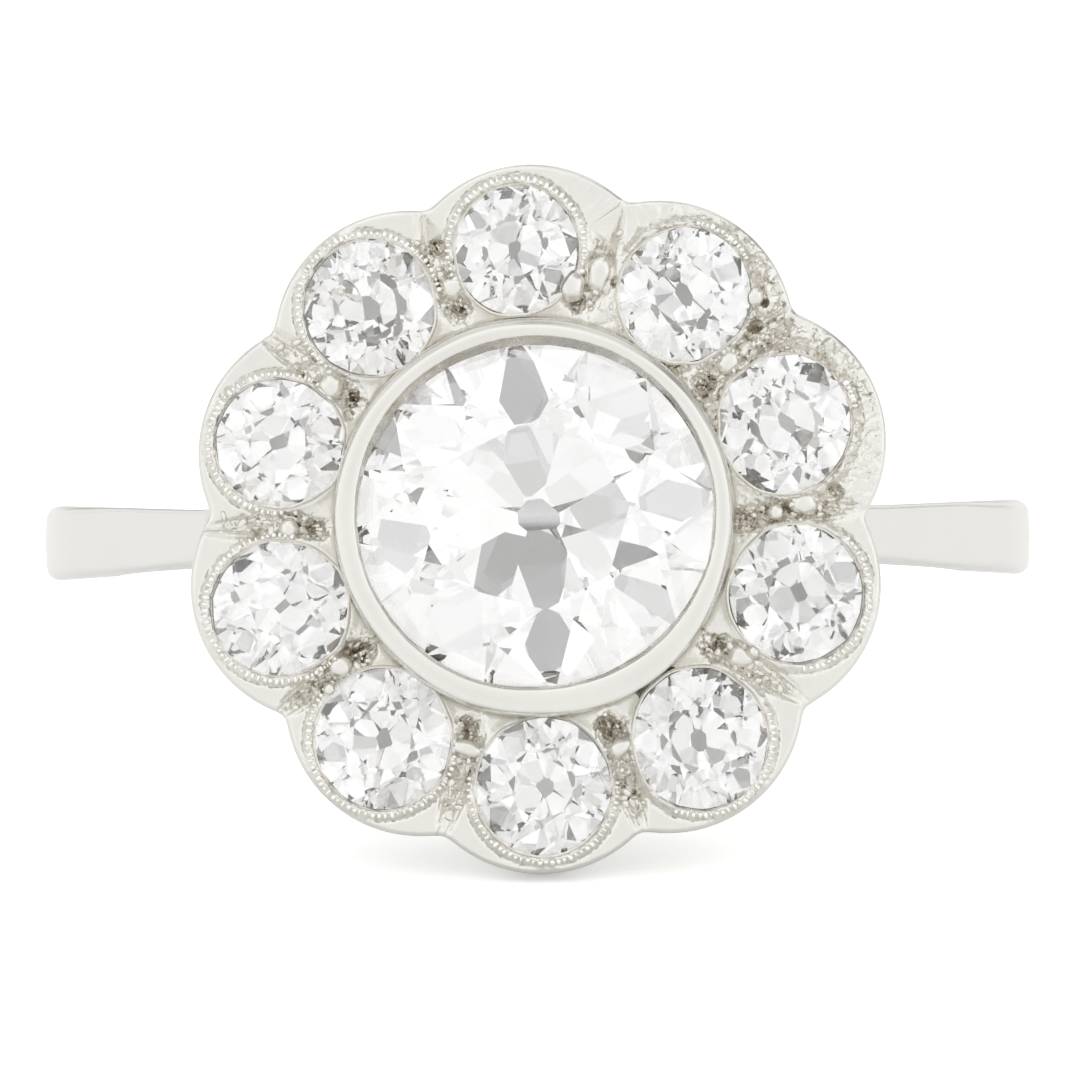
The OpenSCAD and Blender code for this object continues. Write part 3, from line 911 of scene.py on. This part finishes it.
def buildCollet(sizes):
    turns = np.linspace(0, fullTurn, sizes["around"], endpoint=False)
    angles, *measured = np.array(sizes["edges"] + [(360, *sizes["edges"][0][1:])]).T
    measured = [np.interp(np.degrees(turns), angles, radii) for radii in measured]
    outer, inner, meets = (np.convolve(np.pad(radii, 9, mode="wrap"), hanningOf(19), "valid") for radii in measured)
    ripple = softNoise(np.cos(turns) * 3.6, np.sin(turns) * 3.6, 0.45, 41)
    fineRipple = softNoise(np.cos(turns) * 3.6, np.sin(turns) * 3.6, 0.16, 43)
    outer = outer + 0.008 * ripple
    inner = inner + 0.006 * fineRipple
    meets = meets + 0.010 * fineRipple + 0.008 * ripple
    crown = math.tan(math.radians(sizes["crownAngle"]))
    stone = centreSeat["size"]
    rests = centreSeat["girdle"] + sizes["girdle"] * stone + (stone - meets) * crown + sizes["stoneGap"]
    even = np.ones(sizes["around"])
    rows = []   # radii, heights, and dirt with painted shade of each loop, from the outside of the foot over the rim and down inside
    for share, z in sizes["wall"]:
        rows.append((sizes["footRadius"] + (outer - sizes["footRadius"]) * share, z * even, 0.12 - 0.12 * share))
    for share, z in sizes["top"]:
        rows.append((outer + (inner - outer) * share, (z + 0.004 * ripple) * even, 0.0 if share < 0.97 else 0.2))
    edgeHeight = sizes["rim"] - 0.05
    for share in (0.25, 0.6, 1.0):
        rows.append((inner + (meets - inner) * share, edgeHeight + (rests - edgeHeight) * share, 0.13))
    for radius, z in sizes["bore"]:
        rows.append((radius * even, z * even, 0.4))
    brown = 1 + 2.2 * bump(np.degrees(turns), sizes["brownAt"], 34)
    points, dirtAndShade = [], []
    for radii, heights, grimeAndShade in rows:
        up = (heights - sizes["foot"]) / (sizes["rim"] - sizes["foot"])
        x = sizes["lean"][0] * up + radii * np.cos(turns)
        y = sizes["lean"][1] * up + radii * np.sin(turns)
        points += np.stack([x, y, heights], axis=1).tolist()
        dirtAndShade += np.clip(grimeAndShade * brown * (1 + 0.9 * fineRipple), 0, 1).tolist()
    loops = np.arange(len(points)).reshape(len(rows), -1).tolist()
    faces = []
    for loop, after in zip(loops, loops[1:] + loops[:1]):
        faces += quadsBetween(loop, after)
    mesh = newMesh("centreCollet", points, faces, dirtAndShade)
    smoothByAngle(mesh, sizes["smoothAngle"])
    return newPiece("centreCollet", mesh, colletMaterial)


centreCollet = buildCollet(collet)
print("collet:", len(centreCollet.data.polygons), "faces")


# Milgrain: worn beads along the bank outside each stone

milgrain = {
    "pitch": 0.128, "bead": 0.058, "length": 1.3, "squash": 0.72, "out": 0.09, "sunk": 0.032, "seed": 5,
    "wander": 0.012,          # off the line
    "smallest": (0.62, 0.62, 0.45), "largest": (1.12, 1.12, 1.1), "width": 0.9,     # scales of the beads
    "spans": [112, 26, 14, 70, 64, 96, 104, 112, 108, 112],  # degrees either side that the beads still run round
    "steps": 120,             # points along each line
}


def makeMilgrainTree(sizes):
    tree = bpy.data.node_groups.new("milgrainBeads", "GeometryNodeTree")
    addSockets(tree, "INPUT", [
        ("Geometry", "Geometry"), ("Pitch", "Float"), ("Bead Radius", "Float"), ("Length", "Float"),
        ("Squash", "Float"), ("Wander", "Float"), ("Seed", "Int"), ("Up", "Vector"), ("Material", "Material")])
    addSockets(tree, "OUTPUT", [("Geometry", "Geometry")])
    given = addNode(tree, "NodeGroupInput").outputs
    curve = addNode(tree, "GeometryNodeMeshToCurve", {"Mesh": given["Geometry"]}).outputs["Curve"]
    spots = addNode(tree, "GeometryNodeResampleCurve", {"Curve": curve, "Length": given["Pitch"]}, mode="LENGTH")
    drift = addNode(tree, "FunctionNodeRandomValue", {
        0: (-1, -1, -1), 1: (1, 1, 1), "Seed": given["Seed"]}, data_type="FLOAT_VECTOR")
    offset = addNode(tree, "ShaderNodeVectorMath", {
        0: drift.outputs[0], "Scale": given["Wander"]}, operation="SCALE")
    moved = addNode(tree, "GeometryNodeSetPosition", {
        "Geometry": spots.outputs["Curve"], "Offset": offset.outputs["Vector"]})
    bead = addNode(tree, "GeometryNodeMeshIcoSphere", {"Radius": given["Bead Radius"], "Subdivisions": 2})
    upright = addNode(tree, "FunctionNodeAlignRotationToVector", {"Vector": given["Up"]}, axis="Z")
    tangent = addNode(tree, "GeometryNodeInputTangent").outputs["Tangent"]
    turn = addNode(tree, "FunctionNodeAlignRotationToVector", {
        "Rotation": upright.outputs["Rotation"], "Vector": tangent}, axis="X", pivot_axis="Z")
    size = addNode(tree, "FunctionNodeRandomValue", {
        0: sizes["smallest"], 1: sizes["largest"], "Seed": given["Seed"]}, data_type="FLOAT_VECTOR")
    flat = addNode(tree, "ShaderNodeCombineXYZ", {"X": sizes["width"], "Y": given["Length"], "Z": given["Squash"]})
    scale = addNode(tree, "ShaderNodeVectorMath", {
        0: size.outputs[0], 1: flat.outputs["Vector"]}, operation="MULTIPLY")
    beads = addNode(tree, "GeometryNodeInstanceOnPoints", {
        "Points": moved.outputs["Geometry"], "Instance": bead.outputs["Mesh"],
        "Rotation": turn.outputs["Rotation"], "Scale": scale.outputs["Vector"]})
    real = addNode(tree, "GeometryNodeRealizeInstances", {"Geometry": beads.outputs["Instances"]})
    smooth = addNode(tree, "GeometryNodeSetShadeSmooth", {"Geometry": real.outputs["Geometry"]})
    done = addNode(tree, "GeometryNodeSetMaterial", {
        "Geometry": smooth.outputs["Geometry"], "Material": given["Material"]})
    addNode(tree, "NodeGroupOutput", {"Geometry": done.outputs["Geometry"]})
    return tree


def growNodes(name, base, tree, values):
    # runs a node tree on a base mesh and keeps the result as a plain mesh
    holder = bpy.data.objects.new(name + "Guide", base)
    bpy.context.scene.collection.objects.link(holder)
    modifier = holder.modifiers.new(name, "NODES")
    modifier.node_group = tree
    for item in tree.interface.items_tree:
        if item.item_type == "SOCKET" and item.in_out == "INPUT" and item.name in values:
            modifier[item.identifier] = values[item.name]
    made = bpy.data.meshes.new_from_object(holder.evaluated_get(bpy.context.evaluated_depsgraph_get()))
    made.name = name
    bpy.data.objects.remove(holder)
    piece = bpy.data.objects.new(name, made)
    bpy.context.scene.collection.objects.link(piece)
    return piece


def buildMilgrain(sizes):
    rng = np.random.default_rng(sizes["seed"])
    steps = sizes["steps"]
    points, edges = [], []
    for seat, span in zip(seats, sizes["spans"]):
        first = span + rng.uniform(-8, 8)
        last = span + rng.uniform(-8, 8)
        turns = seat["angle"] + np.radians(np.linspace(-first, last, steps))
        x = seat["x"] + (seat["halfWidth"] + sizes["out"]) * np.cos(turns)
        y = seat["y"] + (seat["halfLength"] + sizes["out"]) * np.sin(turns)
        z = haloPlate["face"] + relief(x, y)[0] + sizes["bead"] * sizes["squash"] - sizes["sunk"]
        edges += [(len(points) + k, len(points) + k + 1) for k in range(steps - 1)]
        points += list(zip(x, y, z))
    base = bpy.data.meshes.new("milgrainLines")
    base.from_pydata(points, edges, [])
    base.transform(headToRow)
    return growNodes("milgrain", base, makeMilgrainTree(sizes), {
        "Pitch": sizes["pitch"] * millimetre, "Bead Radius": sizes["bead"] * millimetre,
        "Length": sizes["length"], "Squash": sizes["squash"], "Wander": sizes["wander"] * millimetre,
        "Seed": sizes["seed"], "Up": headAxis, "Material": grainMaterial})


milgrainBeads = buildMilgrain(milgrain)
print("milgrain:", len(milgrainBeads.data.polygons), "faces")


# Grains: beads of metal raised with a graver to hold the stones' inner edges

grainShape = {
    "rise": 0.15, "sunk": 0.12, "around": 28, "rings": 9, "seed": 17,
    "strays": 5,             # small loose ones in each gap
    "strayReach": (4.35, 6.2), "strayAside": (-0.26, 0.26), "straySize": (0.05, 0.10),
    "waves": [(2, 0.10, 0), (3, 0.09, 2), (5, 0.06, 6)],  # round the outline: how many, depth, and first draw used
    "tilt": 0.06,            # of the top
    "smoothAngle": 40,
}


def makeDome(sizes):
    # dome of unit radius and height with a slightly flattened top
    dome = bmesh.new()
    rows = []
    for share in np.linspace(0, 1, sizes["rings"])[:-1]:
        radius = math.cos(share * math.pi / 2) ** 0.55
        height = math.sin(share * math.pi / 2) ** 0.9
        turns = [fullTurn * k / sizes["around"] for k in range(sizes["around"])]
        rows.append([dome.verts.new((radius * math.cos(turn), radius * math.sin(turn), height)) for turn in turns])
    tip = dome.verts.new((0, 0, 1))
    for low, high in zip(rows, rows[1:]):
        for quad in quadsBetween(low, high):
            dome.faces.new(quad)
    for first, second, *_ in quadsBetween(rows[-1], rows[-1]):
        dome.faces.new((first, second, tip))
    dome.faces.new(rows[0][::-1])
    return dome


def grainSpots(sizes, rng):
    # place, half across, half along, turn and height of every grain
    spots = []
    for work in gapWork:
        for angle, out, across, along in work["grains"]:
            spots.append((*polar(angle, out), across, along, math.radians(angle), sizes["rise"]))
    for index in range(len(gapWork)):
        middle = gapAngle(index)
        for _ in range(sizes["strays"]):
            out = rng.uniform(*sizes["strayReach"])
            side = rng.uniform(*sizes["strayAside"])
            size = rng.uniform(*sizes["straySize"])
            x = out * math.cos(middle) - side * math.sin(middle)
            y = out * math.sin(middle) + side * math.cos(middle)
            spots.append((x, y, size, size * rng.uniform(1, 1.8), rng.uniform(0, math.pi), size * 0.9))
    return spots


def buildGrains(sizes):
    rng = np.random.default_rng(sizes["seed"])
    spots = grainSpots(sizes, rng)
    whole = bmesh.new()
    for x, y, across, along, turn, lift in spots:
        ground = min(relief(np.array([x]), np.array([y]))[0][0], 0.0)
        base = haloPlate["face"] + ground - sizes["sunk"]
        dome = makeDome(sizes)
        bend = rng.uniform(-1, 1, 9)
        for vert in dome.verts:
            angle = math.atan2(vert.co.y, vert.co.x)
            uneven = 1.0
            for waves, depth, first in sizes["waves"]:
                uneven += depth * bend[first] * math.cos(waves * angle + bend[first + 1] * 3)
            vert.co.x *= along * uneven
            vert.co.y *= across * uneven
            raised = vert.co.z * (lift + sizes["sunk"])
            vert.co.z = raised + sizes["tilt"] * bend[4] * vert.co.x + sizes["tilt"] * bend[5] * vert.co.y
        place = Matrix.Translation((x, y, base)) @ Matrix.Rotation(turn, 4, "Z")
        bmesh.ops.transform(dome, matrix=place, verts=dome.verts)
        part = bpy.data.meshes.new("grain")
        dome.to_mesh(part)
        dome.free()
        whole.from_mesh(part)
        bpy.data.meshes.remove(part)
    mesh = bpy.data.meshes.new("grains")
    whole.to_mesh(mesh)
    whole.free()
    smoothByAngle(mesh, sizes["smoothAngle"])
    return newPiece("grains", mesh, haloMaterial)


grains = buildGrains(grainShape)
print("grains:", len(grains.data.polygons), "faces")


# Old-cut stones, cut by hand: every facet is a plane, a little off from where it should be

centreCut = {
    "crown": 33.0, "pavilion": 40.4,    # slopes of the main facets, in degrees
    "table": 0.53, "star": 0.74, "lower": 0.41, "culet": 0.108, "girdle": 0.018,    # as shares of the radius
    "around": 96,                       # corners of the girdle
    "slip": 0.006,                      # how far the facets stray
    "culetShift": (0.10, 0.03),
}
haloCut = dict(
    centreCut, crown=35.0, pavilion=41.0, table=0.45, star=0.70, lower=0.5, culet=0.14, slip=0.021,
    culetShift=(0.0, 0.0))
haloTurns = [8, 31, 12, 25, 3, 38, 17, 41, 20, 6]   # degrees that each is turned in its seat


def planeThrough(first, second, third):
    # facet through three points, facing away from the stone's middle
    normal = (second - first).cross(third - first).normalized()
    if normal.dot(first) < 0:
        normal.negate()
    return normal


def cutAway(stone, point, normal):
    rim = cutPlane(stone, point, normal)
    if len(rim) > 2:
        bmesh.ops.contextual_create(stone, geom=rim)


def cutStone(seat, sizes, turn, seed):
    rng = np.random.default_rng(seed)
    size, edge = seat["size"], sizes["girdle"] * seat["size"]
    square = rng.uniform(0.0, 0.012)

    def rim(azimuth, share, z):
        reach = share * (1 + square * math.cos(4 * azimuth + 1))
        x = reach * seat["halfWidth"] * math.cos(azimuth)
        return Vector((x, reach * seat["halfLength"] * math.sin(azimuth), z))

    def nudged(normal, amount):
        stray = [rng.normal(0, sizes["slip"]) for _ in range(3)]
        return (normal + Vector(stray) * amount).normalized()

    stone = bmesh.new()
    turns = [fullTurn * k / sizes["around"] for k in range(sizes["around"])]
    top = [stone.verts.new(rim(azimuth, 0.998, size)) for azimuth in turns]
    low = [stone.verts.new(rim(azimuth, 0.998, -size)) for azimuth in turns]
    for face in [top, low[::-1]] + quadsBetween(low, top):
        stone.faces.new(face)
    flatAt = edge + (1 - sizes["table"]) * size * math.tan(math.radians(sizes["crown"]))
    for side in (1, -1):
        slope = math.radians(sizes["crown"] if side > 0 else sizes["pavilion"])
        run = (flatAt - edge) / math.tan(slope)
        azimuths = [turn + k * math.pi / 4 + rng.normal(0, 0.012) for k in range(8)]
        mains, tips, corners = [], [], []
        for azimuth in azimuths:
            tilt = slope + rng.normal(0, sizes["slip"])
            if side < 0:
                aside = sizes["culetShift"][0] * math.cos(azimuth) + sizes["culetShift"][1] * math.sin(azimuth)
                tilt = math.atan(math.tan(tilt) * size / (size - aside))
            mains.append(Vector((math.sin(tilt) * math.cos(azimuth), math.sin(tilt) * math.sin(azimuth),
                                 side * math.cos(tilt))))
            corner = rim(azimuth, 1, 0) * (1 - run / size)
            corner.z = flatAt
            corners.append(corner)
        for azimuth, after, normal in zip(azimuths, azimuths[1:] + azimuths[:1], mains):
            after += fullTurn if after < azimuth else 0
            tip = rim((azimuth + after) / 2, sizes["star"] if side > 0 else sizes["lower"], 0)
            start = rim(azimuth, 1, side * edge)
            tip.z = start.z - (normal.x * (tip.x - start.x) + normal.y * (tip.y - start.y)) / normal.z
            tips.append(tip)
        for k, azimuth in enumerate(azimuths):
            cutAway(stone, rim(azimuth, 1, side * edge), nudged(mains[k], 0.3))
            half, whole = azimuth + math.pi / 8, azimuth + math.pi / 4
            for first, second in ((azimuth, half), (half, whole)):
                start, end = rim(first, 1, side * edge), rim(second, 1, side * edge)
                normal = nudged(planeThrough(tips[k], start, end), 0.6)
                cutAway(stone, start + Vector((0, 0, side * 0.004)), normal)
            if side > 0:
                normal = planeThrough(tips[k], corners[k], corners[(k + 1) % 8])
                cutAway(stone, corners[k], nudged(normal, 0.8))
        if side > 0:
            cutAway(stone, Vector((0, 0, flatAt)), nudged(Vector((0, 0, 1)), 0.5))
        else:
            drop = edge + (1 - sizes["culet"]) * size * math.tan(slope)
            cutAway(stone, Vector((0, 0, -drop)), nudged(Vector((0, 0, -1)), 1.5))
    bmesh.ops.remove_doubles(stone, verts=stone.verts, dist=0.002)
    bmesh.ops.dissolve_degenerate(stone, dist=0.001, edges=stone.edges)
    bmesh.ops.recalc_face_normals(stone, faces=stone.faces)
    return stone


def buildStone(name, seat, sizes, turn, seed, material, tip):
    stone = cutStone(seat, sizes, math.radians(turn), seed)
    mesh = bpy.data.meshes.new(name)
    stone.to_mesh(mesh)
    stone.free()
    low = min(face.center.z for face in mesh.polygons)
    culet = [1.0 if face.center.z < low + 0.02 and face.normal.z < -0.97 else 0.0 for face in mesh.polygons]
    mesh.attributes.new("culet", "FLOAT", "FACE").data.foreach_set("value", culet)
    seated = Matrix.Translation((seat["x"], seat["y"], seat["girdle"]))
    leaning = Matrix.Rotation(math.radians(tip[0]), 4, "X") @ Matrix.Rotation(math.radians(tip[1]), 4, "Y")
    mesh.transform(seated @ leaning)
    return newPiece(name, mesh, material)


stones = {"centreStone": buildStone("centreStone", centreSeat, centreCut, 6, 100, centreMaterial, (0.3, -0.4))}
for index, seat in enumerate(seats):
    name = "haloStone%02d" % (index + 1)
    tip = np.random.default_rng(300 + index).normal(0, 1.1, 2)
    stones[name] = buildStone(name, seat, haloCut, haloTurns[index], 200 + index, haloDiamond, tip)
print("stones:", sum(len(stone.data.polygons) for stone in stones.values()), "facets")


# Floor and light

studio = {
    "floorSize": 3.0, "floorColour": (0.80, 0.80, 0.795, 1), "floorPatches": (0.825, 0.825, 0.82, 1),
    "floorGlow": 0.5,         # the camera sees the floor a little over-exposed; the ring doesn't
    "tent": 1.25,
    "metalSky": [  # greys of the tent in the metal, from behind the ring round to the camera
        (0.0, 0.82), (0.25, 0.88), (0.44, 0.70), (0.60, 0.84), (0.76, 0.98), (0.93, 1.0), (0.985, 0.86), (1.0, 0.81)],
    "cells": 14.0,            # patches of the studio's walls, across one unit of direction
    "walls": [  # their greys in the stones, by chance
        (0.0, 0.20), (0.03, 0.32), (0.06, 0.45), (0.09, 0.57), (0.13, 0.69), (0.22, 0.78), (0.36, 0.84),
        (0.56, 0.90), (0.78, 0.97)],
    "frontWalls": [(0.0, 0.54), (0.13, 0.67), (0.30, 0.78), (0.54, 0.86), (0.78, 0.94)],   # the same near the camera
    "frontReach": (9.0, 13.0),  # degrees off its axis between which they give way
    "lens": (1.3, 0.3),       # degrees across its half, and brightness
    "nearCards": {"seed": 1176, "count": 10, "off": (1.5, 9.5), "half": (0.5, 1.15), "shade": (0.12, 0.75)},
}


def buildFloor(sizes):
    material, tree = newMaterial("paleFloor")
    coords = addNode(tree, "ShaderNodeTexCoord").outputs["Object"]
    colour = mixColours(tree, noiseNode(tree, coords, 6.0, 2.0), sizes["floorColour"], sizes["floorPatches"])
    paper = addNode(tree, "ShaderNodeBump", {
        "Height": noiseNode(tree, coords, 900.0, 2.0), "Strength": 0.2, "Distance": 0.00005})
    seen = addNode(tree, "ShaderNodeLightPath").outputs["Is Camera Ray"]
    shader = addNode(tree, "ShaderNodeBsdfPrincipled", {
        "Base Color": colour, "Roughness": 0.9, "Specular IOR Level": 0.1, "Normal": paper.outputs["Normal"],
        "Emission Color": colour, "Emission Strength": mathNode(tree, "MULTIPLY", seen, sizes["floorGlow"])})
    addNode(tree, "ShaderNodeOutputMaterial", {"Surface": shader.outputs["BSDF"]})
    sheet = bmesh.new()
    bmesh.ops.create_grid(sheet, x_segments=8, y_segments=8, size=sizes["floorSize"] / 2)
    mesh = bpy.data.meshes.new("floor")
    sheet.to_mesh(mesh)
    sheet.free()
    return newPiece("floor", mesh, material, Matrix.Identity(4))


def scatterCards(cards):
    # grey cards round the camera: degrees off its axis, turn, half size and brightness
    rng = np.random.default_rng(cards["seed"])
    placed = []
    for _ in range(cards["count"]):
        off = math.sqrt(rng.uniform(cards["off"][0] ** 2, cards["off"][1] ** 2))
        turn = rng.uniform(0, fullTurn)
        placed.append((off, turn, rng.uniform(*cards["half"]), rng.uniform(*cards["shade"])))
    return placed


def buildSky(sizes):
    # an even white tent for the metal; the stones look through to darker patches of the studio
    world = bpy.data.worlds.new("studio")
    bpy.context.scene.world = world
    world.use_nodes = True
    world.cycles.sampling_method = "NONE"
    tree = world.node_tree
    tree.nodes.clear()
    way = addNode(tree, "ShaderNodeTexCoord").outputs["Generated"]

    def towards(axis):
        return addNode(tree, "ShaderNodeVectorMath", {0: way, 1: axis}, operation="DOT_PRODUCT").outputs["Value"]

    facing = towards(cameraAxis)
    spread = rangeNode(tree, facing, -1.0, 1.0)
    metalSky = rampNode(tree, spread, sizes["metalSky"])
    patches = rampNode(tree, noiseNode(tree, way, 2.2, 1.0), [(0.36, 0.38), (0.52, 1.0)])
    aside = rampNode(tree, spread, [(0.0, 1.0), (0.84, 1.0), (0.96, 0.0)])
    metalSky = mixColours(tree, aside, metalSky, mixColours(tree, 1.0, metalSky, patches, "MULTIPLY"))
    cells = addNode(tree, "ShaderNodeTexVoronoi", {"Vector": way, "Scale": sizes["cells"], "Randomness": 1.0})
    chance = addNode(tree, "ShaderNodeSeparateColor", {"Color": cells.outputs["Color"]}).outputs["Red"]
    near, far = (math.cos(math.radians(degrees)) for degrees in sizes["frontReach"])
    gemSky = mixColours(tree, rangeNode(tree, facing, far, near),
                        rampNode(tree, chance, sizes["walls"], "CONSTANT"),
                        rampNode(tree, chance, sizes["frontWalls"], "CONSTANT"))
    sideways = (ringTurn @ Vector((0, 1, 0))).cross(cameraAxis).normalized()
    upwards = cameraAxis.cross(sideways)
    for off, turn, half, shade in [(0, 0, *sizes["lens"])] + scatterCards(sizes["nearCards"]):
        off = math.radians(off)
        middle = cameraAxis * math.cos(off) + (sideways * math.cos(turn) + upwards * math.sin(turn)) * math.sin(off)
        covers = mathNode(tree, "GREATER_THAN", towards(middle), math.cos(math.radians(half)))
        gemSky = mixColours(tree, covers, gemSky, (shade, shade, shade, 1), "DARKEN")
    path = addNode(tree, "ShaderNodeLightPath").outputs
    colour = mixColours(tree, path["Is Transmission Ray"], metalSky, gemSky)
    for ray in ("Is Camera Ray", "Is Diffuse Ray"):
        colour = mixColours(tree, path[ray], colour, (1, 1, 1, 1))
    light = addNode(tree, "ShaderNodeBackground", {"Color": colour, "Strength": sizes["tent"]})
    addNode(tree, "ShaderNodeOutputWorld", {"Surface": light.outputs["Background"]})


floor = buildFloor(studio)
buildSky(studio)
print("floor and light made")

scene = bpy.context.scene
scene.view_settings.view_transform = "Standard"
scene.view_settings.look = "None"
scene.cycles.max_bounces = 18
scene.cycles.transmission_bounces = 14
scene.cycles.glossy_bounces = 14
scene.cycles.diffuse_bounces = 2
scene.cycles.use_denoising = True

for piece in (shank, gallery, plate, centreCollet, milgrainBeads, grains):
    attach(piece, "root")
    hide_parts("ring_mount")
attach(stones["centreStone"], "root")
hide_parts("centre_stone")
for index, node in enumerate(haloNames):
    piece = stones["haloStone%02d" % (index + 1)]
    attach(piece, "root")
    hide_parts(node)
